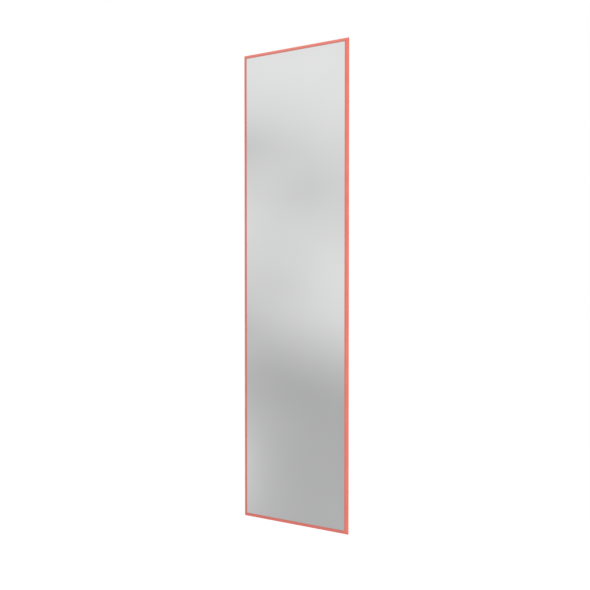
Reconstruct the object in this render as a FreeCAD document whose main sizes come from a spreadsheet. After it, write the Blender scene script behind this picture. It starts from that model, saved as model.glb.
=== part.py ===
import FreeCAD, Part
import math
import os
import re
import Sketcher

# Full length wall mirror: a slim mitred metal frame with a bevelled outer face, silvered glass with
# a backing board in its channel, and two hinged D-rings on the back that hang it on the wall.
# Millimetres. X runs to the viewer's right, Z up, and the mirror looks towards -Y.
# The origin is on the wall, midway between the two rings, at the height of their pins.

SIZES = {
    # Whole mirror
    "overall_width": 400.0,
    "overall_height": 1600.0,
    "ring_drop": 200.0,
    # Frame section, measured inwards from its outer edge and forwards from its back
    "face_width": 12.0,
    "lip_flat": 4.6,
    "lip_thick": 1.2,
    "edge_height": 1.6,
    "wall_thick": 1.2,
    "web_reach": 7.0,
    "flange_reach": 16.0,
    "edge_soft": 0.4,
    # Glass, its film and the board behind it
    "glass_thick": 3.0,
    "glass_arris": 0.5,
    "film_thick": 0.2,
    "film_inset": 1.0,
    "board_thick": 2.4,
    "board_corner": 2.0,
    # Packers between the frame and the edges of the glass
    "packer_thick": 1.2,
    "packer_length": 30.0,
    "packer_inset": 85.0,
    "packer_arris": 0.3,
    # Corner keys and their screws
    "key_reach": 32.0,
    "key_height": 2.8,
    "key_play": 0.2,
    "key_screw_inset": 22.0,
    "key_nose": 1.2,
    "screw_line": 5.5,
    "screw_radius": 1.1,
    "screw_length": 3.4,
    "screw_head_radius": 2.2,
    "screw_head_height": 1.4,
    "screw_head_soft": 0.6,
    "screw_cross_length": 2.6,
    "screw_cross_width": 0.6,
    "screw_cross_depth": 0.8,
    "thread_play": 0.05,
    "clearance_play": 0.15,
    # Hinged rings and their straps
    "wire_radius": 0.9,
    "ring_radius": 4.5,
    "ring_corner": 1.2,
    "ring_leg": 3.8,
    "strap_thick": 0.8,
    "strap_play": 0.3,
    "strap_side_play": 0.4,
    "strap_length": 22.0,
    "strap_corner": 2.4,
    "strap_screw_drop": 14.5,
    # Bumpers that keep the back off the wall
    "bumper_side": 11.0,
    "bumper_height": 4.5,
    "bumper_bevel": 1.3,
    "bumper_line": 8.0,
    "bumper_inset": 46.0,
    # One overrun for every cut that leaves the solid
    "overrun": 2.0,
}

# Worked out from the sizes: places across the frame section
FRAME_DEPTH = "(wall_thick + board_thick + film_thick + glass_thick + lip_thick)"
CHANNEL_FRONT = f"({FRAME_DEPTH} - lip_thick)"
BEVEL_RUN = "(face_width - lip_flat)"
BEVEL_RISE = f"({FRAME_DEPTH} - edge_height)"
BEVEL_LENGTH = f"sqrt({BEVEL_RUN} ^ 2 + {BEVEL_RISE} ^ 2)"
WEB_INNER = "(web_reach + wall_thick)"
GLASS_EDGE = f"({WEB_INNER} + packer_thick)"
CHAMBER_OUTER = (f"((wall_thick - edge_height) * {BEVEL_RUN} / {BEVEL_RISE}"
                 f" + wall_thick * {BEVEL_LENGTH} / {BEVEL_RISE})")
CHAMBER_FRONT = (f"(edge_height + web_reach * {BEVEL_RISE} / {BEVEL_RUN}"
                 f" - wall_thick * {BEVEL_LENGTH} / {BEVEL_RUN})")

# Worked out from the sizes: the glass and the places of the four sides
GLASS_WIDTH = f"(overall_width - 2 * {GLASS_EDGE})"
GLASS_HEIGHT = f"(overall_height - 2 * {GLASS_EDGE})"
MIDDLE_HEIGHT = "(ring_drop - overall_height / 2)"
BACK_PLANE = "(-bumper_height)"
GLASS_BACK = "(wall_thick + board_thick + film_thick)"

# Worked out from the sizes: the ring and its strap
CURL_INNER = "(wire_radius + strap_play)"
CURL_OUTER = f"({CURL_INNER} + strap_thick)"
STRAP_WIDTH = "(2 * (ring_radius - wire_radius - strap_side_play))"
RING_SIDE = "(overall_width / 2 - screw_line)"

# The upright axis of the mirror's face, and the turns about it in degrees
UPRIGHT = FreeCAD.Vector(0, 1, 0)
QUARTER_TURN = 90
TURN_OF_SIDE = {"bottom": 0, "left": QUARTER_TURN, "top": 2 * QUARTER_TURN, "right": -QUARTER_TURN}

# Where each corner of the frame lies, and its turn from the bottom left one
CORNERS = {
    "bottom_left": ("-overall_width / 2", "ring_drop - overall_height", 0),
    "top_left": ("-overall_width / 2", "ring_drop", QUARTER_TURN),
    "top_right": ("overall_width / 2", "ring_drop", 2 * QUARTER_TURN),
    "bottom_right": ("overall_width / 2", "ring_drop - overall_height", -QUARTER_TURN),
}

# Flats round the ring's wire, with which it turns in its strap
WIRE_FLATS = 12


def make_sheet(doc):
    """The driving sizes, one row each, with the name as the cell's alias."""
    sheet = doc.addObject("Spreadsheet::Sheet", "Sizes")
    for row, (alias, number) in enumerate(SIZES.items(), start=1):
        sheet.set(f"A{row}", alias.replace("_", " "))
        sheet.set(f"B{row}", str(number))
        sheet.setAlias(f"B{row}", alias)
    doc.recompute()
    return sheet


def cells(formula):
    """A formula in the sizes' names, with each name pointing at its cell."""
    return re.sub(r"[a-z_]+", lambda word: f"Sizes.{word[0]}" if word[0] in SIZES else word[0], formula)


def number(doc, formula):
    """What a formula comes to."""
    return float(doc.Sizes.evalExpression(cells(formula)))


def bind(item, prop, formula):
    item.setExpression(prop, cells(formula))


def place(item, x, y, z, turn=0):
    """Puts an item at three formulas, turned about the Y axis."""
    item.Placement = FreeCAD.Placement(FreeCAD.Vector(0, 0, 0), FreeCAD.Rotation(UPRIGHT, turn))
    for axis, formula in zip("xyz", (x, y, z)):
        bind(item, f"Placement.Base.{axis}", formula)


def new_body(doc, label):
    body = doc.addObject("PartDesign::Body", label)
    body.Label = label
    return body


def new_sketch(body, name, role, offset=None):
    """A sketch on one of the body's own planes, moved off it by a formula if one is given."""
    sketch = body.newObject("Sketcher::SketchObject", name)
    plane = next(item for item in body.Origin.OriginFeatures if item.Role == role)
    sketch.AttachmentSupport = [(plane, "")]
    sketch.MapMode = "FlatFace"
    if offset:
        bind(sketch, "AttachmentOffset.Base.z", offset)
    return sketch


def pin_point(sketch, item, end, across, up):
    """Fixes one point of a sketch by its two formulas."""
    doc = sketch.Document
    for formula, kind, axis in ((across, "DistanceX", -2), (up, "DistanceY", -1)):
        value = number(doc, formula)
        if formula == "0":
            sketch.addConstraint(Sketcher.Constraint("PointOnObject", item, end, axis))
        else:
            index = sketch.addConstraint(Sketcher.Constraint(kind, -1, 1, item, end, value))
            bind(sketch, f"Constraints[{index}]", formula)


def add_loop(sketch, corners):
    """A closed outline of straight edges through corners given as pairs of formulas."""
    doc = sketch.Document
    points = [FreeCAD.Vector(number(doc, a), number(doc, b), 0) for a, b in corners]
    start = sketch.GeometryCount
    count = len(points)
    for index, point in enumerate(points):
        sketch.addGeometry(Part.LineSegment(point, points[(index + 1) % count]), False)
    for index in range(count):
        after = start + (index + 1) % count
        sketch.addConstraint(Sketcher.Constraint("Coincident", start + index, 2, after, 1))
    for index, (across, up) in enumerate(corners):
        pin_point(sketch, start + index, 1, across, up)


def add_circle(sketch, across, up, radius):
    doc = sketch.Document
    centre = FreeCAD.Vector(number(doc, across), number(doc, up), 0)
    size = number(doc, radius)
    item = sketch.addGeometry(Part.Circle(centre, FreeCAD.Vector(0, 0, 1), size), False)
    pin_point(sketch, item, 3, across, up)
    index = sketch.addConstraint(Sketcher.Constraint("Radius", item, size))
    bind(sketch, f"Constraints[{index}]", radius)


def add_box(sketch, width, height):
    """A rectangle centred on the sketch's origin."""
    right, left = f"({width}) / 2", f"-({width}) / 2"
    top, bottom = f"({height}) / 2", f"-({height}) / 2"
    add_loop(sketch, [(left, bottom), (right, bottom), (right, top), (left, top)])


def pad(body, name, sketch, length, middle=False, reverse=False):
    feature = body.newObject("PartDesign::Pad", name)
    feature.Profile = sketch
    feature.Midplane = middle
    feature.Reversed = reverse
    bind(feature, "Length", length)
    body.Document.recompute()
    return feature


def pocket(body, name, sketch, length=None, reverse=False):
    """A cut both ways from its sketch, or one way to a depth, that has to take material away."""
    before = body.Shape.Volume
    feature = body.newObject("PartDesign::Pocket", name)
    feature.Profile = sketch
    feature.Reversed = reverse
    if length:
        bind(feature, "Length", length)
    else:
        feature.Type = "ThroughAll"
        feature.Midplane = True
    body.Document.recompute()
    if not body.Shape.Volume < before:
        raise RuntimeError(f"{body.Label}: {name} cuts nothing")
    return feature


def edges_where(feature, test):
    """The names of the edges whose middle and direction pass a test."""
    names = []
    for index, edge in enumerate(feature.Shape.Edges, start=1):
        middle = edge.valueAt((edge.FirstParameter + edge.LastParameter) / 2)
        along = edge.tangentAt((edge.FirstParameter + edge.LastParameter) / 2)
        if test(middle, along):
            names.append(f"Edge{index}")
    return names


def soften(body, name, feature, names, size, kind="Fillet"):
    """Rounds or bevels the named edges of a feature."""
    softened = body.newObject(f"PartDesign::{kind}", name)
    softened.Base = (feature, names)
    bind(softened, "Radius" if kind == "Fillet" else "Size", size)
    body.Document.recompute()
    return softened


def near(first, second):
    return math.isclose(first, second, abs_tol=Part.Precision.approximation())


def frame_section(sketch):
    """The extrusion: bevelled face, front lip, channel for the glass, back flange and key chamber."""
    front, lip_back = f"-{FRAME_DEPTH}", f"-{CHANNEL_FRONT}"
    add_loop(sketch, [
        ("0", "0"), ("-edge_height", "0"), (front, BEVEL_RUN), (front, "face_width"),
        (lip_back, "face_width"), (lip_back, WEB_INNER), ("-wall_thick", WEB_INNER),
        ("-wall_thick", "flange_reach"), ("0", "flange_reach"),
    ])
    add_loop(sketch, [
        ("-wall_thick", CHAMBER_OUTER), ("-wall_thick", "web_reach"), (f"-{CHAMBER_FRONT}", "web_reach"),
    ])


def mitre_cuts(sketch, length):
    """The two corners taken off the ends at 45 degrees."""
    outer, inner = f"({length}) / 2 + overrun", f"({length}) / 2 - flange_reach - overrun"
    inward = "flange_reach + overrun"
    for side in ("", "-"):
        add_loop(sketch, [
            (f"{side}({outer})", "-overrun"), (f"{side}({outer})", inward), (f"{side}({inner})", inward),
        ])


def make_side(doc, side, length, strap_hole, x, z):
    """One mitred side of the frame, lying along its own X with its outer edge at the origin."""
    name = {"bottom": "bottom_rail", "top": "top_rail"}.get(side, f"{side}_stile")
    body = new_body(doc, name)
    section = new_sketch(body, f"{name}_section", "YZ_Plane")
    frame_section(section)
    bar = pad(body, f"{name}_bar", section, length, middle=True)

    depth, run = number(doc, FRAME_DEPTH), number(doc, BEVEL_RUN)
    face, edge = number(doc, "face_width"), number(doc, "edge_height")
    shown = ((-depth, run), (-depth, face), (-edge, 0))
    long_edges = edges_where(bar, lambda at, along: near(abs(along.x), 1) and any(
        near(at.y, y) and near(at.z, z) for y, z in shown))
    soften(body, f"{name}_soft_edges", bar, long_edges, "edge_soft")

    mitres = new_sketch(body, f"{name}_mitres", "XZ_Plane")
    mitre_cuts(mitres, length)
    pocket(body, f"{name}_mitre_cut", mitres)

    holes = new_sketch(body, f"{name}_holes", "XZ_Plane")
    hole_radius = "screw_radius + clearance_play"
    for sign in ("", "-"):
        add_circle(holes, f"{sign}(({length}) / 2 - key_screw_inset)", "screw_line", hole_radius)
    if strap_hole:
        add_circle(holes, strap_hole, "screw_line", hole_radius)
    pocket(body, f"{name}_hole_cut", holes, "wall_thick + overrun", reverse=True)
    place(body, x, BACK_PLANE, z, TURN_OF_SIDE[side])
    return body


def make_frame(doc):
    """Two rails and two stiles that meet in mitres."""
    strap_hole = "(ring_drop + strap_screw_drop - overall_height / 2)"
    half = "overall_width / 2"
    return [
        make_side(doc, "bottom", "overall_width", None, "0", "ring_drop - overall_height"),
        make_side(doc, "top", "overall_width", None, "0", "ring_drop"),
        make_side(doc, "left", "overall_height", strap_hole, f"-{half}", MIDDLE_HEIGHT),
        make_side(doc, "right", "overall_height", f"-{strap_hole}", half, MIDDLE_HEIGHT),
    ]


def make_corner_key(doc, corner):
    """An angle that slides into the chambers of two sides, drawn with the frame's corner at the origin."""
    name = f"corner_key_{corner}"
    x, z, turn = CORNERS[corner]
    body = new_body(doc, name)
    slope = f"{BEVEL_RUN} / {BEVEL_RISE}"
    base, top = "wall_thick", "(wall_thick + key_height)"
    outer = f"{CHAMBER_OUTER} + key_play * {BEVEL_LENGTH} / {BEVEL_RISE}"
    section = new_sketch(body, f"{name}_section", "YZ_Plane", "key_reach")
    add_loop(section, [
        (f"-{base}", outer), (f"-{base}", "web_reach - key_play"),
        (f"-{top}", "web_reach - key_play"), (f"-{top}", f"{outer} + key_height * {slope}"),
    ])
    first = pad(body, f"{name}_first_leg", section, "key_reach", reverse=True)
    nose = edges_where(first, lambda at, along: near(abs(along.y), 1) and near(at.x, number(doc, "key_reach")))
    soften(body, f"{name}_nose", first, nose, "key_nose", "Chamfer")

    mitre = new_sketch(body, f"{name}_mitre", "XZ_Plane")
    add_loop(mitre, [("-overrun", "-overrun"), ("-overrun", "flange_reach"), ("flange_reach", "flange_reach")])
    pocket(body, f"{name}_mitre_cut", mitre)

    hole = new_sketch(body, f"{name}_hole", "XZ_Plane")
    add_circle(hole, "key_screw_inset", "screw_line", "screw_radius + thread_play")
    pocket(body, f"{name}_hole_cut", hole)

    diagonal = body.newObject("PartDesign::Plane", f"{name}_diagonal")
    diagonal.AttachmentSupport = [(mitre, "")]
    diagonal.MapMode = "FlatFace"
    diagonal.AttachmentOffset = FreeCAD.Placement(
        FreeCAD.Vector(0, 0, 0), FreeCAD.Rotation(FreeCAD.Vector(1, -1, 0), QUARTER_TURN))
    both = body.newObject("PartDesign::Mirrored", f"{name}_second_leg")
    both.TransformMode = "Whole shape"
    both.MirrorPlane = (diagonal, [""])
    body.Tip = both
    place(body, x, BACK_PLANE, z, turn)
    doc.recompute()
    return body


def make_screw(doc, name="pan_screw"):
    """A pan head screw with a crossed recess, head on the plane y = 0 and shank towards -Y."""
    body = new_body(doc, name)
    outline = new_sketch(body, f"{name}_outline", "XY_Plane")
    add_loop(outline, [
        ("0", "-screw_length"), ("screw_radius", "-screw_length"), ("screw_radius", "0"),
        ("screw_head_radius", "0"), ("screw_head_radius", "screw_head_height - screw_head_soft"),
        ("screw_head_radius - screw_head_soft", "screw_head_height"), ("0", "screw_head_height"),
    ])
    turned = body.newObject("PartDesign::Revolution", f"{name}_turned")
    turned.Profile = outline
    turned.ReferenceAxis = (outline, ["V_Axis"])
    turned.Angle = 360
    doc.recompute()
    cross = new_sketch(body, f"{name}_cross", "XZ_Plane", "-screw_head_height")
    length, width = "screw_cross_length / 2", "screw_cross_width / 2"
    add_loop(cross, [
        (length, f"-{width}"), (length, width), (width, width), (width, length),
        (f"-{width}", length), (f"-{width}", width), (f"-{length}", width), (f"-{length}", f"-{width}"),
        (f"-{width}", f"-{width}"), (f"-{width}", f"-{length}"), (width, f"-{length}"), (width, f"-{width}"),
    ])
    pocket(body, f"{name}_recess", cross, "screw_cross_depth", reverse=True)
    return body


def make_strap_screw(doc, side):
    """The screw that holds a strap to its stile."""
    body = make_screw(doc, f"strap_screw_{side}")
    sign = "-" if side == "left" else ""
    place(body, f"{sign}{RING_SIDE}", f"{BACK_PLANE} + strap_thick", "-strap_screw_drop")
    return body


def make_group(doc, label, master, places):
    """Several alike pieces in one node: each place is x, y and z as formulas, and a turn about Y."""
    links = []
    for index, (x, y, z, turn) in enumerate(places, start=1):
        link = doc.addObject("App::Link", f"{label}_{index}")
        link.LinkedObject = master
        place(link, x, y, z, turn)
        links.append(link)
    group = doc.addObject("Part::Compound", label)
    group.Label = label
    group.Links = links
    return group


def make_key_screws(doc, screw, corner):
    """The screw of each leg, through the back of the frame into the corner key."""
    x, z, _ = CORNERS[corner]
    right, up = ("-" if "right" in corner else "+"), ("-" if "top" in corner else "+")
    return make_group(doc, f"key_screws_{corner}", screw, [
        (f"{x} {right} key_screw_inset", BACK_PLANE, f"{z} {up} screw_line", 0),
        (f"{x} {right} screw_line", BACK_PLANE, f"{z} {up} key_screw_inset", 0),
    ])


def make_sheet_piece(doc, name, width, height, thick, back, edges=None):
    """A flat sheet whose back lies a formula in front of the frame's back plane."""
    body = new_body(doc, name)
    outline = new_sketch(body, f"{name}_outline", "XZ_Plane")
    add_box(outline, width, height)
    sheet = pad(body, f"{name}_sheet", outline, thick)
    if edges:
        test, size, kind = edges
        soften(body, f"{name}_edges", sheet, edges_where(sheet, test), size, kind)
    place(body, "0", f"{BACK_PLANE} - {back}", MIDDLE_HEIGHT)
    return body


def make_pane(doc):
    """The glass with its ground edges, the film on its silvered back and the board behind both."""
    def rim(at, along):
        return near(along.y, 0)

    def upright_corner(at, along):
        return near(abs(along.y), 1)

    inset = f"{GLASS_EDGE} + film_inset"
    return [
        make_sheet_piece(doc, "mirror_glass", GLASS_WIDTH, GLASS_HEIGHT, "glass_thick",
                         GLASS_BACK, (rim, "glass_arris", "Chamfer")),
        make_sheet_piece(doc, "safety_film", f"overall_width - 2 * ({inset})",
                         f"overall_height - 2 * ({inset})", "film_thick", "(wall_thick + board_thick)"),
        make_sheet_piece(doc, "backing_board", GLASS_WIDTH, GLASS_HEIGHT, "board_thick",
                         "wall_thick", (upright_corner, "board_corner", "Chamfer")),
    ]


def make_packer(doc):
    """A strip that keeps the glass and board off the frame's web, lying along X."""
    body = new_body(doc, "edge_packer")
    outline = new_sketch(body, "edge_packer_outline", "XY_Plane")
    add_loop(outline, [
        ("-packer_length / 2", "-wall_thick"), ("packer_length / 2", "-wall_thick"),
        ("packer_length / 2", f"-{CHANNEL_FRONT}"), ("-packer_length / 2", f"-{CHANNEL_FRONT}"),
    ])
    strip = pad(body, "edge_packer_strip", outline, "packer_thick")
    half = number(doc, "packer_length") / 2
    ends = edges_where(strip, lambda at, along: near(abs(along.y), 1) and near(abs(at.x), half))
    soften(body, "edge_packer_ends", strip, ends, "packer_arris", "Chamfer")
    return body


def make_packers(doc, packer):
    """Two packers above and below the glass and two at each side."""
    side, end = "overall_width / 2", "packer_inset"
    low, high = "ring_drop - overall_height", "ring_drop"
    places = {
        "bottom": [(f"{s}({side} - {end})", f"{low} + {WEB_INNER}") for s in ("-", "")],
        "top": [(f"{s}({side} - {end})", f"{high} - {WEB_INNER}") for s in ("-", "")],
        "left": [(f"-({side} - {WEB_INNER})", z) for z in (f"{low} + {end}", f"{high} - {end}")],
        "right": [(f"{side} - {WEB_INNER}", z) for z in (f"{low} + {end}", f"{high} - {end}")],
    }
    return [
        make_group(doc, f"packers_{name}", packer, [
            (x, BACK_PLANE, z, TURN_OF_SIDE[name]) for x, z in spots])
        for name, spots in places.items()
    ]


def strap_outline(outline):
    """The strap seen from its side: a curl of three quarters of a turn with a straight tail."""
    doc = outline.Document
    inner, outer = number(doc, CURL_INNER), number(doc, CURL_OUTER)
    middle, axis = FreeCAD.Vector(0, 0, 0), FreeCAD.Vector(0, 0, 1)
    start, stop = -math.pi / 2, math.pi
    for radius in (outer, inner):
        outline.addGeometry(Part.ArcOfCircle(Part.Circle(middle, axis, radius), start, stop), False)
    tail = -number(doc, "strap_length")
    corners = [(0, -outer), (0, -inner)], [(-inner, 0), (-inner, tail)], \
        [(-inner, tail), (-outer, tail)], [(-outer, tail), (-outer, 0)]
    for first, last in corners:
        outline.addGeometry(Part.LineSegment(FreeCAD.Vector(*first, 0), FreeCAD.Vector(*last, 0)), False)
    joins = [(0, 1, 2, 1), (2, 2, 1, 1), (1, 2, 3, 1), (3, 2, 4, 1), (4, 2, 5, 1), (5, 2, 0, 2)]
    for join in joins:
        outline.addConstraint(Sketcher.Constraint("Coincident", *join))
    for arc in (0, 1):
        outline.addConstraint(Sketcher.Constraint("Coincident", arc, 3, -1, 1))
    for arc, end, axis_line in ((0, 1, -2), (0, 2, -1), (1, 1, -2), (1, 2, -1)):
        outline.addConstraint(Sketcher.Constraint("PointOnObject", arc, end, axis_line))
    for arc, formula in ((0, CURL_OUTER), (1, CURL_INNER)):
        index = outline.addConstraint(Sketcher.Constraint("Radius", arc, number(doc, formula)))
        bind(outline, f"Constraints[{index}]", formula)
    pin_point(outline, 3, 2, f"-{CURL_INNER}", "-strap_length")
    pin_point(outline, 4, 2, f"-{CURL_OUTER}", "-strap_length")


def make_strap(doc, side):
    """A steel strap screwed to the stile, its top curled round the ring's pin at the origin."""
    name = f"hanger_strap_{side}"
    body = new_body(doc, name)
    outline = new_sketch(body, f"{name}_outline", "YZ_Plane")
    strap_outline(outline)
    curl = pad(body, f"{name}_curl", outline, STRAP_WIDTH, middle=True)
    tail = -number(doc, "strap_length")
    tail_corners = edges_where(curl, lambda at, along: near(abs(along.y), 1) and near(at.z, tail))
    soften(body, f"{name}_tail", curl, tail_corners, "strap_corner")

    hole = new_sketch(body, f"{name}_hole", "XZ_Plane")
    add_circle(hole, "0", "-strap_screw_drop", "screw_radius + clearance_play")
    pocket(body, f"{name}_hole_cut", hole)
    sign = "-" if side == "left" else ""
    place(body, f"{sign}{RING_SIDE}", f"{BACK_PLANE} + {CURL_OUTER}", "0")
    return body


def ring_path(path):
    """The middle line of the wire: a straight pin, two corners, two legs and a half round bow."""
    doc = path.Document
    bend, leg, bow = (number(doc, word) for word in ("ring_corner", "ring_leg", "ring_radius"))
    flat, foot, up = bow - bend, -(bend + leg), FreeCAD.Vector(0, 0, 1)

    def line(x1, y1, x2, y2):
        return path.addGeometry(Part.LineSegment(FreeCAD.Vector(x1, y1, 0), FreeCAD.Vector(x2, y2, 0)), False)

    def arc(x, y, radius, first, last):
        circle = Part.Circle(FreeCAD.Vector(x, y, 0), up, radius)
        return path.addGeometry(Part.ArcOfCircle(circle, first * math.pi, last * math.pi), False)

    line(-flat, 0, flat, 0)
    arc(flat, -bend, bend, 0, 1 / 2)
    line(bow, -bend, bow, foot)
    arc(0, foot, bow, 1, 2)
    line(-bow, foot, -bow, -bend)
    arc(-flat, -bend, bend, 1 / 2, 1)
    joins = [(0, 2, 1, 2), (1, 1, 2, 1), (2, 2, 3, 2), (3, 1, 4, 1), (4, 2, 5, 2), (5, 1, 0, 1)]
    for join in joins:
        path.addConstraint(Sketcher.Constraint("Coincident", *join))
    sides = ("(ring_radius - ring_corner)", "ring_radius", "(ring_corner + ring_leg)")
    pin_point(path, 0, 1, f"-{sides[0]}", "0")
    pin_point(path, 0, 2, sides[0], "0")
    pin_point(path, 2, 1, sides[1], "-ring_corner")
    pin_point(path, 2, 2, sides[1], f"-{sides[2]}")
    pin_point(path, 4, 1, f"-{sides[1]}", f"-{sides[2]}")
    pin_point(path, 4, 2, f"-{sides[1]}", "-ring_corner")
    for item, end, partner, other in ((1, 3, 0, 2), (5, 3, 0, 1)):
        path.addConstraint(Sketcher.Constraint("Vertical", item, end, partner, other))
    path.addConstraint(Sketcher.Constraint("Horizontal", 3, 3, 2, 2))


def make_ring(doc, side):
    """A D-shaped wire ring, its straight pin along X through the origin and its bow hanging down."""
    name = f"hanging_ring_{side}"
    body = new_body(doc, name)
    path = new_sketch(body, f"{name}_path", "XZ_Plane")
    ring_path(path)
    wire = new_sketch(body, f"{name}_wire", "YZ_Plane")
    turns = [4 * QUARTER_TURN * (step + 1 / 2) / WIRE_FLATS for step in range(WIRE_FLATS)]
    add_loop(wire, [(f"wire_radius * cos({turn} deg)", f"wire_radius * sin({turn} deg)") for turn in turns])
    doc.recompute()
    ring = body.newObject("PartDesign::AdditivePipe", f"{name}_bow")
    ring.Profile = wire
    ring.Spine = (path, [])
    sign = "-" if side == "left" else ""
    place(body, f"{sign}{RING_SIDE}", f"{BACK_PLANE} + {CURL_OUTER}", "0")
    return body


def make_bumper(doc, corner):
    """A square rubber bumper on the back flange, bevelled round its flat face on the wall."""
    name = f"wall_bumper_{corner}"
    body = new_body(doc, name)
    foot = new_sketch(body, f"{name}_foot", "XZ_Plane")
    add_box(foot, "bumper_side", "bumper_side")
    block = pad(body, f"{name}_block", foot, "bumper_height", reverse=True)
    free = edges_where(block, lambda at, along: not near(at.y, 0))
    soften(body, f"{name}_bevels", block, free, "bumper_bevel", "Chamfer")
    x, z, _ = CORNERS[corner]
    right, up = ("-" if "right" in corner else "+"), ("-" if "top" in corner else "+")
    place(body, f"{x} {right} bumper_line", BACK_PLANE, f"{z} {up} bumper_inset")
    return body


def faults(doc, pieces):
    """What failed, in words."""
    found = []
    for item in doc.Objects:
        if {"Invalid", "Error"} & set(item.State):
            found.append(f"{item.Label} is {', '.join(item.State)}")
    for piece in pieces:
        if piece.Shape.isNull() or not piece.Shape.isValid() or not piece.Shape.Solids:
            found.append(f"{piece.Label} has no valid shape")
    return found


def main():
    doc = FreeCAD.newDocument("FullLengthMirror")
    make_sheet(doc)
    screw, packer = make_screw(doc), make_packer(doc)
    pieces = make_frame(doc) + make_pane(doc) + make_packers(doc, packer)
    for corner in CORNERS:
        pieces.append(make_corner_key(doc, corner))
        pieces.append(make_key_screws(doc, screw, corner))
        pieces.append(make_bumper(doc, corner))
    for side in ("left", "right"):
        pieces.append(make_strap(doc, side))
        pieces.append(make_ring(doc, side))
        pieces.append(make_strap_screw(doc, side))
    doc.recompute()
    found = faults(doc, pieces)
    if found:
        raise RuntimeError("; ".join(found))
    os.makedirs("parts", exist_ok=True)
    for piece in pieces:
        piece.Shape.exportStep(f"parts/{piece.Label}.step")
        solids = len(piece.Shape.Solids)
        print(f"{piece.Label}: {solids} solid(s), {piece.Shape.Volume:.1f} mm3")


main()
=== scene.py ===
"""The looks of a full length mirror: its finishes, some modelled pieces and a studio round the CAD parts.

Everything is in metres in the frame of the CAD parts: X to the viewer's right, Z up, the glass faces -Y,
and the wall that the mirror hangs on is the plane y = 0.
"""

import logging
import math
from collections.abc import Sequence
from dataclasses import dataclass
from enum import Enum

import bmesh
import bpy
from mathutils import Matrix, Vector


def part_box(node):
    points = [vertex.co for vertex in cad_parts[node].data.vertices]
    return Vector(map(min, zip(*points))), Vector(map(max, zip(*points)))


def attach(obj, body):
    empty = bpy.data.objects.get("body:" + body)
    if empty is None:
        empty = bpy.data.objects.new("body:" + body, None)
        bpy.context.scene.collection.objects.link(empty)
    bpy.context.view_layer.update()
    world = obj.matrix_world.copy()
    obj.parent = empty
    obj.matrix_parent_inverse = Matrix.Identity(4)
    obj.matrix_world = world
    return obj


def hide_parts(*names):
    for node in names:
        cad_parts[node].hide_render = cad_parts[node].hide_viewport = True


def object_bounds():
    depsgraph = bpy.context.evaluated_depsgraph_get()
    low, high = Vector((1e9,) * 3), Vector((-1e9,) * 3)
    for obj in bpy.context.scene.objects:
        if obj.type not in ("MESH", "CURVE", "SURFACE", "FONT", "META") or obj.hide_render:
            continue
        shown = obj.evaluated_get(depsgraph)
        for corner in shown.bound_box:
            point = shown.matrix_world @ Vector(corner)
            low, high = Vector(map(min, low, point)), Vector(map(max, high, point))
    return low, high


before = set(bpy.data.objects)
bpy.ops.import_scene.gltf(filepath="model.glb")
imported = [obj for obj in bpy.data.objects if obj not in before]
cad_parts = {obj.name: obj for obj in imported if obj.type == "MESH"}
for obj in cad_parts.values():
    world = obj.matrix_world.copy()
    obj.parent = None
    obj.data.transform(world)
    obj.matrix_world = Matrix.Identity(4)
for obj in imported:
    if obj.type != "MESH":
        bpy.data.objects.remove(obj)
CAD_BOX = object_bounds()

LOG = logging.getLogger("full_length_mirror")
MM = 0.001
ON_PLANE = 0.01 * MM

Triple = tuple[float, float, float]
Colour = Triple
Span = tuple[float, float]

WHITE: Colour = (1.0, 1.0, 1.0)


# Shader maths


class Value:
    """A number that changes over a surface. Arithmetic on it adds Math nodes to its shader."""

    def __init__(self, shader: "Shader", socket: bpy.types.NodeSocket) -> None:
        """Keeps the socket that gives the number.

        Args:
            shader: the shader that the socket is in.
            socket: the output socket.
        """
        self.shader = shader
        self.socket = socket

    def __add__(self, other: "Value | float") -> "Value":
        """The sum."""
        return self.shader.math("ADD", self, other)

    def __radd__(self, other: float) -> "Value":
        """The sum, with a plain number in front."""
        return self.shader.math("ADD", other, self)

    def __sub__(self, other: "Value | float") -> "Value":
        """The difference."""
        return self.shader.math("SUBTRACT", self, other)

    def __rsub__(self, other: float) -> "Value":
        """The difference, with a plain number in front."""
        return self.shader.math("SUBTRACT", other, self)

    def __mul__(self, other: "Value | float") -> "Value":
        """The product."""
        return self.shader.math("MULTIPLY", self, other)

    def __rmul__(self, other: float) -> "Value":
        """The product, with a plain number in front."""
        return self.shader.math("MULTIPLY", other, self)

    def __truediv__(self, other: "Value | float") -> "Value":
        """The quotient."""
        return self.shader.math("DIVIDE", self, other)

    def __rtruediv__(self, other: float) -> "Value":
        """The quotient, with a plain number in front."""
        return self.shader.math("DIVIDE", other, self)

    def __abs__(self) -> "Value":
        """The size without its sign."""
        return self.shader.math("ABSOLUTE", self)

    def sine(self) -> "Value":
        """The sine."""
        return self.shader.math("SINE", self)

    def least(self, other: "Value | float") -> "Value":
        """The smaller of two."""
        return self.shader.math("MINIMUM", self, other)

    def step(self, low: float, high: float) -> "Value":
        """A smooth step from 0 at one value to 1 at the other.

        Args:
            low: where the step is 0.
            high: where the step is 1, above or below low.

        Returns:
            The step's height.
        """
        ends = (low, high, 0.0, 1.0) if low < high else (high, low, 1.0, 0.0)
        names = ("From Min", "From Max", "To Min", "To Max")
        inputs = {"Value": self, **dict(zip(names, ends))}
        settings = {"interpolation_type": "SMOOTHSTEP"}
        return self.shader.value("ShaderNodeMapRange", "Result", settings, inputs)


Linked = Value | bpy.types.NodeSocket | float | Sequence[float]


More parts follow.
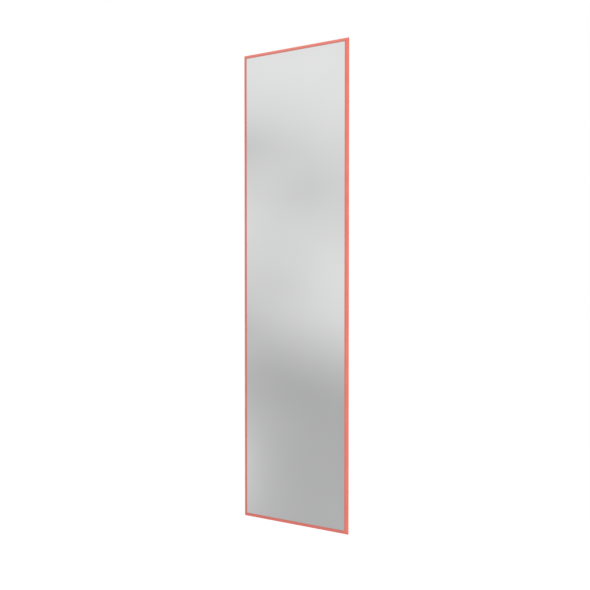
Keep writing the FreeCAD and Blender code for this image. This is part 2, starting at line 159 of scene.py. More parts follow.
class Shader:
    """The nodes of one material or of the sky."""

    def __init__(self, tree: bpy.types.NodeTree) -> None:
        """Starts from an empty node tree.

        Args:
            tree: the node tree to fill.
        """
        self.tree = tree
        tree.nodes.clear()

    def node(self, kind: str, settings: dict[str, object] | None = None,
             inputs: dict[str, Linked] | None = None) -> bpy.types.Node:
        """Adds a node.

        Args:
            kind: the node's type.
            settings: its properties.
            inputs: values or links for its sockets, by the sockets' identifiers.

        Returns:
            The new node.
        """
        made = self.tree.nodes.new(kind)
        for name, setting in (settings or {}).items():
            setattr(made, name, setting)
        sockets = {socket.identifier: socket for socket in made.inputs}
        for name, given in (inputs or {}).items():
            if isinstance(given, Value):
                given = given.socket
            if isinstance(given, bpy.types.NodeSocket):
                self.tree.links.new(given, sockets[name])
            else:
                sockets[name].default_value = given
        return made

    def value(self, kind: str, output: str, settings: dict[str, object] | None = None,
              inputs: dict[str, Linked] | None = None) -> Value:
        """Adds a node and gives one of its outputs.

        Args:
            kind: the node's type.
            output: the identifier of the output.
            settings: its properties.
            inputs: values or links for its sockets.

        Returns:
            The output.
        """
        made = self.node(kind, settings, inputs)
        return Value(self, next(socket for socket in made.outputs if socket.identifier == output))

    def math(self, operation: str, *terms: Value | float) -> Value:
        """Adds a Math node.

        Args:
            operation: what the node does.
            terms: its one or two numbers.

        Returns:
            The result.
        """
        names = ("Value", "Value_001")
        return self.value("ShaderNodeMath", "Value", {"operation": operation}, dict(zip(names, terms)))

    def point(self) -> bpy.types.NodeSocket:
        """Where a point is on its piece, in metres in the frame of the CAD parts."""
        return self.node("ShaderNodeTexCoord").outputs["Object"]

    def place(self) -> tuple[Value, Value, Value]:
        """Where a point is on its piece, in three numbers.

        Returns:
            Its X, Y and Z.
        """
        split = self.node("ShaderNodeSeparateXYZ", inputs={"Vector": self.point()})
        return tuple(Value(self, split.outputs[axis]) for axis in "XYZ")

    def noise(self, grain: float, detail: float = 2.0, stretch: Triple = (1.0, 1.0, 1.0)) -> Value:
        """A soft random pattern.

        Args:
            grain: the size of its blotches, in metres.
            detail: how many finer layers it has.
            stretch: how much longer the blotches are along each axis.

        Returns:
            The pattern, from 0 to 1 and mostly near a half.
        """
        scale = tuple(1 / (grain * longer) for longer in stretch)
        scaled = self.node("ShaderNodeVectorMath", {"operation": "MULTIPLY"},
                           {"Vector": self.point(), "Vector_001": scale})
        inputs = {"Vector": scaled.outputs["Vector"], "Scale": 1.0, "Detail": detail}
        return self.value("ShaderNodeTexNoise", "Fac", inputs=inputs)

    def blend(self, share: Value, first: Linked, second: Linked) -> Value:
        """Mixes two colours.

        Args:
            share: 0 for the first colour and 1 for the second.
            first: a colour.
            second: a colour.

        Returns:
            The mixed colour.
        """
        inputs = {"Factor_Float": share, "A_Color": self.colour(first), "B_Color": self.colour(second)}
        return self.value("ShaderNodeMix", "Result_Color", {"data_type": "RGBA"}, inputs)

    @staticmethod
    def colour(given: Linked) -> Linked:
        """A colour as a socket takes it, with its alpha."""
        return (*given, 1.0) if isinstance(given, tuple) else given

    def bump(self, height: Value, depth: float) -> Value:
        """A surface that a height pattern raises.

        Args:
            height: the pattern.
            depth: how far 1 stands above 0, in metres.

        Returns:
            The normal.
        """
        inputs = {"Height": height, "Distance": depth, "Strength": 1.0}
        return self.value("ShaderNodeBump", "Normal", inputs=inputs)

    def seen(self) -> Value:
        """Whether a ray comes from the camera, straight or by a shiny or clear surface.

        Returns:
            1 for such a ray and 0 for light on its way to a dull surface.
        """
        rays = self.node("ShaderNodeLightPath").outputs
        straight, shiny, clear = (
            Value(self, rays[name]) for name in ("Is Camera Ray", "Is Glossy Ray", "Is Transmission Ray"))
        return (straight + shiny + clear).least(1.0)


def start_material(name: str) -> tuple[bpy.types.Material, Shader]:
    """Starts a material.

    Args:
        name: the material's name.

    Returns:
        The material and its shader, which has no nodes yet.
    """
    material = bpy.data.materials.new(name)
    material.use_nodes = True
    return material, Shader(material.node_tree)


def inside_edges(across: Value, up: Value) -> tuple[Value, Value]:
    """How far a point of the mirror is inside its outer edges.

    Args:
        across: the point's X.
        up: its Z.

    Returns:
        How far it is inside the nearer side and inside the nearer end, top or bottom.
    """
    low, high = CAD_BOX
    return (high.x - low.x) / 2 - abs(across), (high.z - low.z) / 2 - abs(up - (low.z + high.z) / 2)


# Finishes


@dataclass(frozen=True)
class Finish:
    """What every finish has. A finish says what is the same all over it and what changes.

    In its fields, a span is where a soft step on a pattern starts and ends, and a share is how much of a
    tone shows where its mark is strongest.
    """

    name: str
    colour: Colour

    def constants(self) -> dict[str, Linked]:
        """The shader's sockets that are the same all over."""
        return {}

    def changes(self, shader: Shader) -> dict[str, Linked]:
        """The shader's sockets that change over the surface.

        Args:
            shader: the shader to add nodes to.

        Returns:
            The links, by the sockets' identifiers.
        """
        raise NotImplementedError

    def material(self) -> bpy.types.Material:
        """Makes the material.

        Returns:
            The new material.
        """
        made, shader = start_material(self.name)
        inputs = {**self.constants(), **self.changes(shader)}
        surface = shader.node("ShaderNodeBsdfPrincipled", inputs=inputs)
        shader.node("ShaderNodeOutputMaterial", inputs={"Surface": surface.outputs["BSDF"]})
        return made


@dataclass(frozen=True)
class PowderCoat(Finish):
    """Coral powder coat, with a fine orange peel, soft patches, joint lines, rubbed edges and a painted
    shade line with some dust along the glass.

    The top rail is painted a little paler, as painted light from above, and the bottom rail a little
    deeper, as painted shade. The painted shade line, with some dust, runs along the glass.
    """

    name: str = "coral_powder_coat"
    colour: Colour = (0.818, 0.190, 0.145)
    deep: Colour = (0.785, 0.173, 0.130)
    # The next two tones are painted light and shade: the top rail paler as if lit from above, the bottom
    # rail deeper as if in shade.
    painted_top_light: Colour = (0.800, 0.245, 0.190)
    painted_bottom_shade: Colour = (0.780, 0.100, 0.072)
    pooled: Colour = (0.690, 0.134, 0.101)
    # The tone of a painted shade line along the glass, with some dust in it.
    shade_and_dust: Colour = (0.420, 0.210, 0.190)
    rubbed: Colour = (0.850, 0.280, 0.205)
    joint: Colour = (0.300, 0.050, 0.040)
    # How much of the painted light on the top rail and of the painted shade on the bottom rail shows.
    painted_top_light_share: float = 0.3
    painted_bottom_shade_share: float = 0.4
    pooled_share: float = 0.35
    shade_and_dust_share: float = 0.17
    shade_and_dust_mottle: float = 0.15
    rubbed_share: float = 0.6
    joint_share: float = 0.7
    specular: float = 0.4
    roughness: float = 0.36
    patch_roughness: float = 0.12
    peel_roughness: float = 0.1
    patch_grain: float = 60 * MM
    patch_span: Span = (0.35, 0.65)
    peel_grain: float = 1.3 * MM
    peel_depth: float = 0.02 * MM
    pooled_span: Span = (0.45, 0.25)
    scuff_grain: float = 9 * MM
    scuff_span: Span = (0.52, 0.70)
    joint_width: float = 0.12 * MM
    joint_sink: float = 0.4
    rub_reach: float = 0.4 * MM
    outer_arris: float = -6.1 * MM
    inner_arris: float = 12 * MM
    # Where the painted shade line along the glass lies, on the front of the lip.
    shade_and_dust_reach: float = 5 * MM
    shade_and_dust_front: float = -11.3 * MM
    shade_and_dust_fade: float = 0.5 * MM

    def constants(self) -> dict[str, Linked]:
        """A satin surface."""
        return {"Specular IOR Level": self.specular}

    def changes(self, shader: Shader) -> dict[str, Linked]:
        """Colour, gloss and relief.

        Args:
            shader: the shader to add nodes to.

        Returns:
            The links, by the sockets' identifiers.
        """
        low, high = CAD_BOX
        across, depth, up = shader.place()
        side, end = inside_edges(across, up)
        inward = side.least(end)
        joint = abs(side - end).step(self.joint_width, self.joint_width / 2)
        rail = (side - end).step(0.0, self.joint_width)
        height = up.step(low.z, high.z)
        arris = abs(depth - self.outer_arris).step(self.rub_reach, 0.0)
        scuffs = shader.noise(self.scuff_grain, detail=4.0).step(*self.scuff_span)
        rubbed = inward.step(self.rub_reach, 0.0) * arris * scuffs
        patches = shader.noise(self.patch_grain, detail=3.0).step(*self.patch_span)
        peel = shader.noise(self.peel_grain)
        # A painted shade line with some dust: darker on the lip's front near the glass.
        shade_and_dust_start = self.inner_arris - self.shade_and_dust_reach
        near_glass = inward.step(shade_and_dust_start, shade_and_dust_start + self.shade_and_dust_reach / 2)
        shade_and_dust_mask = near_glass * depth.step(self.shade_and_dust_front + self.shade_and_dust_fade, self.shade_and_dust_front)
        tone = shader.blend(patches, self.deep, self.colour)
        # Painted light on the top rail and painted shade on the bottom rail.
        tone = shader.blend(rail * height * self.painted_top_light_share, tone, self.painted_top_light)
        tone = shader.blend(rail * (1 - height) * self.painted_bottom_shade_share, tone, self.painted_bottom_shade)
        tone = shader.blend(peel.step(*self.pooled_span) * self.pooled_share, tone, self.pooled)
        # The painted shade line along the glass, mottled with the peel.
        tone = shader.blend(shade_and_dust_mask * (self.shade_and_dust_share + self.shade_and_dust_mottle * peel), tone, self.shade_and_dust)
        tone = shader.blend(rubbed * self.rubbed_share, tone, self.rubbed)
        dull = shader.noise(self.patch_grain / 2)
        return {
            "Base Color": shader.blend(joint * self.joint_share, tone, self.joint),
            "Roughness": self.roughness + self.patch_roughness * dull + self.peel_roughness * peel,
            "Normal": shader.bump(peel - self.joint_sink * joint, self.peel_depth),
        }


@dataclass(frozen=True)
class SilveredGlass(Finish):
    """Silvered float glass: a clear mirror with faint clouds of haze, a little duller along its edges."""

    name: str = "silvered_glass"
    colour: Colour = (0.924, 0.930, 0.928)
    hazy: Colour = (0.906, 0.912, 0.910)
    edge: Colour = (0.870, 0.880, 0.875)
    coat: float = 0.3
    roughness: float = 0.002
    cloud_roughness: float = 0.008
    cloud_grain: float = 0.25
    cloud_span: Span = (0.3, 0.7)
    edge_reach: float = 16 * MM

    def constants(self) -> dict[str, Linked]:
        """A metal under a polished face."""
        return {"Metallic": 1.0, "Coat Weight": self.coat, "Coat Roughness": 0.0}

    def changes(self, shader: Shader) -> dict[str, Linked]:
        """Brightness and haze.

        Args:
            shader: the shader to add nodes to.

        Returns:
            The links, by the sockets' identifiers.
        """
        across, _, up = shader.place()
        side, end = inside_edges(across, up)
        cloud = shader.noise(self.cloud_grain).step(*self.cloud_span)
        tone = shader.blend(cloud, self.hazy, self.colour)
        rim = side.least(end).step(self.edge_reach, self.edge_reach / 2)
        return {
            "Base Color": shader.blend(rim, tone, self.edge),
            "Roughness": self.roughness + self.cloud_roughness * cloud,
        }


@dataclass(frozen=True)
class Hardboard(Finish):
    """The back of pressed hardboard: brown fibres and the print of the screen that it was pressed on."""

    name: str = "brown_hardboard"
    colour: Colour = (0.225, 0.125, 0.064)
    pale: Colour = (0.330, 0.200, 0.112)
    dark: Colour = (0.090, 0.046, 0.024)
    pale_share: float = 0.3
    dark_fibre_share: float = 0.45
    print_share: float = 0.35
    specular: float = 0.25
    roughness: float = 0.72
    fibre_roughness: float = 0.2
    fibre_grain: float = 0.8 * MM
    fibre_stretch: float = 5.0
    pale_fibre_span: Span = (0.58, 0.74)
    dark_fibre_span: Span = (0.60, 0.72)
    pale_fibre_relief: float = 0.6
    dark_fibre_relief: float = 0.4
    patch_grain: float = 110 * MM
    patch_stretch: Triple = (1.0, 1.0, 2.5)
    patch_span: Span = (0.25, 0.75)
    screen_pitch: float = 1.4 * MM
    screen_depth: float = 0.06 * MM

    def constants(self) -> dict[str, Linked]:
        """A dull surface."""
        return {"Specular IOR Level": self.specular}

    def changes(self, shader: Shader) -> dict[str, Linked]:
        """Fibres, patches and the screen's print.

        Args:
            shader: the shader to add nodes to.

        Returns:
            The links, by the sockets' identifiers.
        """
        across, _, up = shader.place()
        turns = 2 * math.pi / self.screen_pitch
        pressed = 0.5 + 0.25 * ((across * turns).sine() + (up * turns).sine())
        level = shader.noise(self.fibre_grain, detail=3.0, stretch=(self.fibre_stretch, 1.0, 1.0))
        upright = shader.noise(self.fibre_grain, detail=3.0, stretch=(1.0, 1.0, self.fibre_stretch))
        patches = shader.noise(self.patch_grain, detail=3.0, stretch=self.patch_stretch)
        tone = shader.blend((1 + patches.step(*self.patch_span)) * self.pale_share, self.colour, self.pale)
        tone = shader.blend(level.step(*self.pale_fibre_span), tone, self.pale)
        tone = shader.blend(upright.step(*self.dark_fibre_span) * self.dark_fibre_share, tone, self.dark)
        relief = pressed + self.pale_fibre_relief * level + self.dark_fibre_relief * upright
        return {
            "Base Color": shader.blend((1 - pressed) * self.print_share, tone, self.dark),
            "Roughness": self.roughness + self.fibre_roughness * level,
            "Normal": shader.bump(relief, self.screen_depth),
        }


@dataclass(frozen=True)
class Metal(Finish):
    """Plated or cast metal, with clouds in its tone and fine drawn lines."""

    tint: Colour
    smooth: float
    rough: float
    cloud_grain: float = 4 * MM
    cloud_span: Span = (0.3, 0.7)
    line_grain: float = 0.25 * MM
    line_stretch: Triple = (1.0, 1.0, 8.0)
    line_relief: float = 0.004 * MM

    def constants(self) -> dict[str, Linked]:
        """A metal."""
        return {"Metallic": 1.0}

    def changes(self, shader: Shader) -> dict[str, Linked]:
        """Tone, gloss and relief.

        Args:
            shader: the shader to add nodes to.

        Returns:
            The links, by the sockets' identifiers.
        """
        clouds = shader.noise(self.cloud_grain, detail=3.0).step(*self.cloud_span)
        lines = shader.noise(self.line_grain, stretch=self.line_stretch)
        return {
            "Base Color": shader.blend(clouds, self.tint, self.colour),
            "Roughness": self.smooth + (self.rough - self.smooth) / 2 * (clouds + lines),
            "Normal": shader.bump(lines, self.line_relief),
        }


@dataclass(frozen=True)
class Rubber(Finish):
    """Moulded rubber, with a fine grain and a bloom of dust."""

    bloom: Colour
    specular: float = 0.35
    roughness: float = 0.62
    bloom_roughness: float = 0.2
    bloom_grain: float = 2.5 * MM
    bloom_span: Span = (0.4, 0.75)
    grain: float = 0.35 * MM
    grain_depth: float = 0.02 * MM

    def constants(self) -> dict[str, Linked]:
        """A dull surface."""
        return {"Specular IOR Level": self.specular}

    def changes(self, shader: Shader) -> dict[str, Linked]:
        """Bloom and grain.

        Args:
            shader: the shader to add nodes to.

        Returns:
            The links, by the sockets' identifiers.
        """
        bloom = shader.noise(self.bloom_grain, detail=4.0).step(*self.bloom_span)
        return {
            "Base Color": shader.blend(bloom, self.colour, self.bloom),
            "Roughness": self.roughness + self.bloom_roughness * bloom,
            "Normal": shader.bump(shader.noise(self.grain), self.grain_depth),
        }


@dataclass(frozen=True)
class Film(Finish):
    """The grey splinter film behind the silver."""

    name: str = "splinter_film"
    colour: Colour = (0.36, 0.38, 0.40)
    weave: Colour = (0.30, 0.32, 0.34)
    weave_pitch: float = 0.6 * MM
    roughness: float = 0.5
    weave_roughness: float = 0.1

    def changes(self, shader: Shader) -> dict[str, Linked]:
        """A faint weave.

        Args:
            shader: the shader to add nodes to.

        Returns:
            The links, by the sockets' identifiers.
        """
        across, _, up = shader.place()
        turns = 2 * math.pi / self.weave_pitch
        weave = 0.5 + 0.5 * (across * turns).sine() * (up * turns).sine()
        return {
            "Base Color": shader.blend(weave, self.colour, self.weave),
            "Roughness": self.roughness + self.weave_roughness * weave,
        }


PAINT = PowderCoat()
GLASS = SilveredGlass()
BOARD = Hardboard()
FILM = Film()
ZINC = Metal("zinc_plate", colour=(0.66, 0.67, 0.66), tint=(0.56, 0.58, 0.60), smooth=0.26, rough=0.42)
NICKEL = Metal("nickel_plate", colour=(0.70, 0.685, 0.65), tint=(0.63, 0.62, 0.60), smooth=0.14, rough=0.24,
               line_stretch=(8.0, 1.0, 1.0))
CAST = Metal("die_cast_alloy", colour=(0.60, 0.61, 0.62), tint=(0.50, 0.51, 0.53), smooth=0.42, rough=0.60,
             line_grain=0.5 * MM)
PACKER_RUBBER = Rubber("packer_rubber", colour=(0.020, 0.020, 0.021), bloom=(0.045, 0.045, 0.045))
BUMPER_RUBBER = Rubber("bumper_rubber", colour=(0.50, 0.50, 0.49), bloom=(0.535, 0.535, 0.52),
                       roughness=0.38)


class Dresser:
    """Makes each finish's material once and gives it to pieces."""

    def __init__(self) -> None:
        """Starts with no materials made."""
        self.made: dict[Finish, bpy.types.Material] = {}

    def dress(self, piece: bpy.types.Object, finish: Finish) -> None:
        """Gives a piece a finish.

        Args:
            piece: a CAD part or a modelled piece.
            finish: the finish.
        """
        if finish not in self.made:
            self.made[finish] = finish.material()
        if not piece.material_slots:
            piece.data.materials.append(self.made[finish])
        for place in piece.material_slots:
            place.material = self.made[finish]
        LOG.info("%s is finished in %s", piece.name, finish.name)


DRESSER = Dresser()


# Meshes


def add_piece(name: str, shape: bmesh.types.BMesh, smooth: bool = True) -> bpy.types.Object:
    """Makes an object of a finished mesh.

    Args:
        name: the piece's name.
        shape: the mesh, which is used up.
        smooth: whether its faces are shaded smooth.

    Returns:
        The new object, at the origin.
    """
    bmesh.ops.recalc_face_normals(shape, faces=shape.faces)
    for face in shape.faces:
        face.smooth = smooth
    mesh = bpy.data.meshes.new(name)
    shape.to_mesh(mesh)
    shape.free()
    piece = bpy.data.objects.new(name, mesh)
    bpy.context.scene.collection.objects.link(piece)
    return piece


def add_block(shape: bmesh.types.BMesh, low: Vector, high: Vector) -> None:
    """Adds a block to a mesh.

    Args:
        shape: the mesh.
        low: the block's lowest corner.
        high: its highest corner.
    """
    middle, size = (low + high) / 2, high - low
    for vertex in bmesh.ops.create_cube(shape, size=1.0)["verts"]:
        vertex.co = middle + Vector(part * length for part, length in zip(vertex.co, size))


def in_order(shape: bmesh.types.BMesh) -> bmesh.types.BMesh:
    """Puts a mesh in an order that is the same each run, because rounding its edges doesn't keep one.

    Args:
        shape: the mesh, which is used up.

    Returns:
        The same mesh, with its corners and faces in order.
    """
    corners = sorted(shape.verts, key=lambda corner: tuple(corner.co))
    places = {corner: place for place, corner in enumerate(corners)}
    faces = []
    for face in shape.faces:
        loop = [places[corner] for corner in face.verts]
        first = loop.index(min(loop))
        faces.append(loop[first:] + loop[:first])
    ordered = bmesh.new()
    made = [ordered.verts.new(corner.co) for corner in corners]
    for loop in sorted(faces):
        ordered.faces.new([made[place] for place in loop])
    shape.free()
    return ordered


# Sub-assemblies


class Side(Enum):
    """The mirror's two sides, as the viewer sees them."""

    LEFT = "left"
    RIGHT = "right"


class Corner(Enum):
    """The mirror's four corners."""

    BOTTOM_LEFT = "bottom_left"
    TOP_LEFT = "top_left"
    TOP_RIGHT = "top_right"
    BOTTOM_RIGHT = "bottom_right"


@dataclass
class FrameBars:
    """The four mitred bars of the frame."""

    bars: tuple[str, ...] = ("bottom_rail", "top_rail", "left_stile", "right_stile")

    def build(self) -> None:
        """Paints the bars."""
        for name in self.bars:
            DRESSER.dress(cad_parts[name], PAINT)


@dataclass
class Pane:
    """The silvered glass with its film, board and packers."""

    packers: tuple[str, ...] = ("packers_bottom", "packers_top", "packers_left", "packers_right")

    def build(self) -> None:
        """Dresses the CAD parts."""
        DRESSER.dress(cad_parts["mirror_glass"], GLASS)
        DRESSER.dress(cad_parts["safety_film"], FILM)
        DRESSER.dress(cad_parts["backing_board"], BOARD)
        for name in self.packers:
            DRESSER.dress(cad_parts[name], PACKER_RUBBER)


@dataclass
class CornerJoint:
    """The key and the two screws that hold a corner of the frame."""

    corner: Corner

    def build(self) -> None:
        """Dresses the key and its screws."""
        DRESSER.dress(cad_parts[f"corner_key_{self.corner.value}"], CAST)
        DRESSER.dress(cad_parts[f"key_screws_{self.corner.value}"], ZINC)


@dataclass
class WallBumper:
    """A soft rubber bumper, narrower at the wall, with rounded edges."""

    corner: Corner
    taper: float = 0.9
    upright_radius: float = 2.2 * MM
    rim_radius: float = 1.1 * MM
    rounding_steps: int = 6

    def build(self) -> None:
        """Models the bumper in the place of its CAD part."""
        node = f"wall_bumper_{self.corner.value}"
        low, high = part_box(node)
        shape = bmesh.new()
        add_block(shape, low, high)
        middle = (low + high) / 2
        for vertex in shape.verts:
            if vertex.co.y > middle.y:
                vertex.co.x = middle.x + (vertex.co.x - middle.x) * self.taper
                vertex.co.z = middle.z + (vertex.co.z - middle.z) * self.taper
        uprights = [edge for edge in shape.edges if self._rises(edge)]
        self._round(shape, uprights, self.upright_radius)
        rim = [edge for edge in shape.edges if all(end.co.y > high.y - ON_PLANE for end in edge.verts)]
        self._round(shape, rim, self.rim_radius)
        bumper = add_piece(f"bumper_{self.corner.value}", in_order(shape))
        DRESSER.dress(bumper, BUMPER_RUBBER)
        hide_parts(node)
        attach(bumper, "mirror")

    @staticmethod
    def _rises(edge: bmesh.types.BMEdge) -> bool:
        """Whether an edge runs from the frame towards the wall."""
        first, second = (end.co.y for end in edge.verts)
        return abs(first - second) > ON_PLANE

    def _round(self, shape: bmesh.types.BMesh, edges: list[bmesh.types.BMEdge], radius: float) -> None:
        """Rounds edges.

        Args:
            shape: the mesh.
            edges: its edges to round.
            radius: how far the rounding reaches.
        """
        bmesh.ops.bevel(shape, geom=edges, offset=radius, segments=self.rounding_steps, profile=0.5,
                        affect="EDGES", clamp_overlap=True)


@dataclass
class Hanger:
    """A strap on a stile with its screw and the hinged wire ring."""

    side: Side
    corner_radius: float = 1.2 * MM
    corner_steps: int = 10
    bow_steps: int = 40
    wire_steps: int = 24

    def build(self) -> None:
        """Dresses the strap and its screw and models the ring."""
        DRESSER.dress(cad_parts[f"hanger_strap_{self.side.value}"], ZINC)
        DRESSER.dress(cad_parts[f"strap_screw_{self.side.value}"], ZINC)
        self.bend_ring()

    def bend_ring(self) -> None:
        """Models the ring as one smooth closed wire in the place of its CAD part."""
        node = f"hanging_ring_{self.side.value}"
        low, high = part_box(node)
        wire = (high.y - low.y) / 2
        path = self.ring_path(low, high, wire)
        shape = bmesh.new()
        rounds = [self._wire_round(shape, path, index, wire) for index in range(len(path))]
        for index, here in enumerate(rounds):
            after = rounds[(index + 1) % len(rounds)]
            for step in range(self.wire_steps):
                turn = (step + 1) % self.wire_steps
                shape.faces.new((here[step], here[turn], after[turn], after[step]))
        ring = add_piece(f"ring_{self.side.value}", shape)
        DRESSER.dress(ring, NICKEL)
        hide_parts(node)
        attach(ring, f"{self.side.value}_ring")

    def ring_path(self, low: Vector, high: Vector, wire: float) -> list[Vector]:
        """The middle line of the wire.

        Args:
            low: the lowest corner of the ring's box.
            high: its highest corner.
            wire: the wire's radius.

        Returns:
            The points of the line: a straight pin on top, two corners, two legs and a half round bow.
        """
        middle = (low + high) / 2
        bow = (high.x - low.x) / 2 - wire
        top = high.z - wire
        foot = low.z + wire + bow
        bend = self.corner_radius
        arcs = (
            (bow - bend, top - bend, bend, 90, 0, self.corner_steps),
            (0, foot, bow, 0, -180, self.bow_steps),
            (bend - bow, top - bend, bend, 180, 90, self.corner_steps),
        )
        path = []
        for across, up, radius, first, last, steps in arcs:
            for step in range(steps + 1):
                turn = math.radians(first + (last - first) * step / steps)
                aside, above = radius * math.cos(turn), radius * math.sin(turn)
                path.append(Vector((middle.x + across + aside, middle.y, up + above)))
        return path

    def _wire_round(self, shape: bmesh.types.BMesh, path: list[Vector], index: int,
                    wire: float) -> list[bmesh.types.BMVert]:
        """One round of the wire's surface.

        Args:
            shape: the mesh.
            path: the wire's middle line, which is closed.
            index: the point to go round.
            wire: the wire's radius.

        Returns:
            The round's corners.
        """
        here = path[index]
        before, after = path[index - 1], path[(index + 1) % len(path)]
        along = ((here - before).normalized() + (after - here).normalized()).normalized()
        front = Vector((0, -1, 0))
        out = along.cross(front)
        turns = (2 * math.pi * step / self.wire_steps for step in range(self.wire_steps))
        spokes = (out * math.cos(turn) + front * math.sin(turn) for turn in turns)
        return [shape.verts.new(here + wire * spoke) for spoke in spokes]


# Studio

FLOOR_LEVEL = -2.7
AMBIENT = 0.78


@dataclass
class Floor:
    """A pale floor that keeps the mirror's shadow and reads as white."""

    size: float = 60.0
    paint: Colour = (0.97, 0.97, 0.97)

    def build(self) -> None:
        """Lays the floor."""
        shape = bmesh.new()
        half = self.size / 2
        corners = ((-half, -half), (half, -half), (half, half), (-half, half))
        shape.faces.new([shape.verts.new((x, y, FLOOR_LEVEL)) for x, y in corners])
        floor = add_piece("studio_floor", shape, smooth=False)
        floor.data.materials.append(self.material())

    def material(self) -> bpy.types.Material:
        """Makes a dull paint that gives off what it lacks to be white, in what the camera sees of it.

        Returns:
            The new material.
        """
        made, shader = start_material("pale_floor")
        dull = shader.node("ShaderNodeBsdfDiffuse", inputs={"Color": Shader.colour(self.paint)})
        missing = 1 - AMBIENT * self.paint[0]
        lift = shader.node("ShaderNodeEmission", inputs={"Strength": shader.seen() * missing})
        both = shader.node("ShaderNodeAddShader", inputs={
            "Shader": dull.outputs["BSDF"], "Shader_001": lift.outputs["Emission"]})
        shader.node("ShaderNodeOutputMaterial", inputs={"Surface": both.outputs["Shader"]})
        return made


@dataclass(frozen=True)
class Glow:
    """A soft lighter or darker place on the reflection screen.

    Where it is and how far it spreads are in metres, and change is the light that it adds in its middle.
    """

    across: float
    height: float
    width: float
    tall: float
    change: float


@dataclass
class ReflectionScreen:
    """The soft grey screen that the glass reflects, and that only shiny and clear surfaces show.

    It hangs in front of the mirror and bends to run along the floor, nearly to the wall. It is pale at the
    top and deeper at the foot, with a sloping change between them, and glows are added to that.
    """

    distance: float = 1.5
    width: float = 12.0
    height: float = 9.0
    bend: float = 0.7
    bend_steps: int = 16
    wall_gap: float = 0.05
    floor_gap: float = 0.01
    pale: float = 0.690
    deep: float = 0.44
    deepening: Span = (-0.64, -1.20)
    slope: float = 0.32
    slope_middle: float = -0.85
    glows: tuple[Glow, ...] = (
        Glow(-1.00, 0.66, 2.0, 0.42, 0.118),
        Glow(-0.50, 0.36, 0.45, 0.33, 0.058),
        Glow(-1.20, 0.22, 0.38, 0.20, -0.096),
        Glow(-0.88, 0.17, 0.25, 0.16, -0.020),
        Glow(-0.75, -0.07, 0.36, 0.22, -0.059),
        Glow(-1.35, -0.22, 0.30, 0.21, 0.088),
        Glow(-1.00, -0.62, 0.45, 0.20, -0.046),
        Glow(-0.55, -0.57, 0.35, 0.38, 0.098),
        Glow(-1.30, -1.00, 0.25, 0.13, 0.074),
        Glow(-0.93, -1.24, 0.30, 0.18, -0.018),
        Glow(-1.32, -1.68, 0.35, 0.52, 0.270),
        Glow(-0.50, -1.92, 0.30, 0.24, 0.028),
    )

    def build(self) -> None:
        """Hangs the screen."""
        shape = bmesh.new()
        half = self.width / 2
        rows = [[shape.verts.new((x, y, z)) for x in (-half, half)] for y, z in self.outline()]
        for above, below in zip(rows, rows[1:]):
            shape.faces.new((above[0], below[0], below[1], above[1]))
        screen = add_piece("reflection_screen", shape)
        screen.data.materials.append(self.material())
        screen.visible_camera = False
        screen.visible_diffuse = False
        screen.visible_shadow = False

    def outline(self) -> list[tuple[float, float]]:
        """The screen's outline from the side.

        Returns:
            Y and Z of its points, down from the top, round the bend and along the floor.
        """
        foot = FLOOR_LEVEL + self.floor_gap
        points = [(-self.distance, FLOOR_LEVEL + self.height)]
        for step in range(self.bend_steps + 1):
            turn = math.pi / 2 * step / self.bend_steps
            points.append((self.bend * (1 - math.cos(turn)) - self.distance,
                           self.bend * (1 - math.sin(turn)) + foot))
        return points + [(-self.wall_gap, foot)]

    def material(self) -> bpy.types.Material:
        """Makes the screen's light.

        Returns:
            The new material.
        """
        made, shader = start_material("grey_screen")
        across, _, up = shader.place()
        share = (up + self.slope * (across - self.slope_middle)).step(*self.deepening)
        level = self.pale + (self.deep - self.pale) * share
        for glow in self.glows:
            aside, above = (across - glow.across) / glow.width, (up - glow.height) / glow.tall
            spread = 1 + aside * aside + above * above
            level = level + glow.change / (spread * spread)
        light = shader.node("ShaderNodeEmission", inputs={"Strength": level})
        shader.node("ShaderNodeOutputMaterial", inputs={"Surface": light.outputs["Emission"]})
        return made


@dataclass(frozen=True)
class Lamp:
    """A square soft lamp that faces the mirror's middle and isn't itself reflected."""

    name: str
    spot: Triple
    size: float
    power: float

    def build(self) -> None:
        """Sets up the lamp."""
        light = bpy.data.lights.new(self.name, "AREA")
        light.size = self.size
        light.energy = self.power
        lamp = bpy.data.objects.new(self.name, light)
        middle = Vector((0, 0, (CAD_BOX[0].z + CAD_BOX[1].z) / 2))
        lamp.location = self.spot
        lamp.rotation_euler = (middle - lamp.location).to_track_quat("-Z", "Y").to_euler()
        lamp.visible_glossy = False
        lamp.visible_transmission = False
        bpy.context.scene.collection.objects.link(lamp)


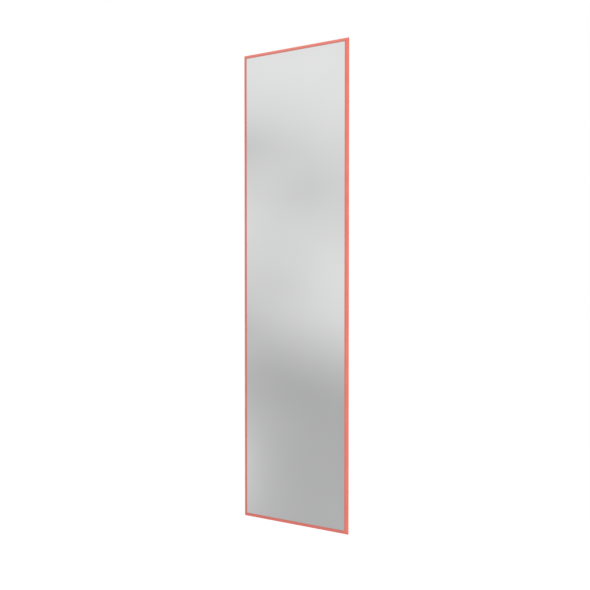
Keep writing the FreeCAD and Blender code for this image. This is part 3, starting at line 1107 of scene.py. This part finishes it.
@dataclass
class Lighting:
    """Even light from all round, in AMBIENT's strength, a lamp at the side and a weaker one above."""

    lamps: tuple[Lamp, ...] = (
        Lamp("side_light", (2.8, -1.3, -0.4), 1.6, 24.0),
        Lamp("top_light", (0.2, -1.1, 2.7), 1.6, 19.0),
    )

    def build(self) -> None:
        """Makes the sky, which reads as white, and the lamps."""
        world = bpy.data.worlds.new("white_studio")
        world.use_nodes = True
        shader = Shader(world.node_tree)
        inputs = {"Color": Shader.colour(WHITE), "Strength": AMBIENT + (1 - AMBIENT) * shader.seen()}
        sky = shader.node("ShaderNodeBackground", inputs=inputs)
        shader.node("ShaderNodeOutputWorld", inputs={"Surface": sky.outputs["Background"]})
        bpy.context.scene.world = world
        for lamp in self.lamps:
            lamp.build()


@dataclass
class StudioCamera:
    """The camera, at the right of the mirror's middle and a little above half its height.

    Its turn to the left and its tilt are in degrees and its lens in millimetres. They and its spot come
    from where the photo shows the frame's corners.
    """

    spot: Triple = (1.1934, -2.1131, -0.5781)
    turn: float = 29.492
    tilt: float = -1.122
    lens: float = 44.08

    def build(self) -> None:
        """Sets up the camera."""
        turn, tilt = math.radians(self.turn), math.radians(self.tilt)
        ahead = Vector((-math.sin(turn) * math.cos(tilt), math.cos(turn) * math.cos(tilt), math.sin(tilt)))
        optics = bpy.data.cameras.new("studio_camera")
        optics.lens = self.lens
        camera = bpy.data.objects.new("studio_camera", optics)
        camera.location = self.spot
        camera.rotation_euler = ahead.to_track_quat("-Z", "Y").to_euler()
        bpy.context.scene.collection.objects.link(camera)
        bpy.context.scene.camera = camera


def main() -> None:
    """Builds the studio and the mirror's sub-assemblies."""
    logging.basicConfig(level=logging.INFO, format="%(name)s: %(message)s")
    bpy.context.scene.view_settings.view_transform = "Standard"
    parts = [Floor(), ReflectionScreen(), Lighting(), StudioCamera(), FrameBars(), Pane()]
    parts += [CornerJoint(corner) for corner in Corner]
    parts += [WallBumper(corner) for corner in Corner]
    parts += [Hanger(side) for side in Side]
    for part in parts:
        part.build()


if __name__ == "__main__":
    main()
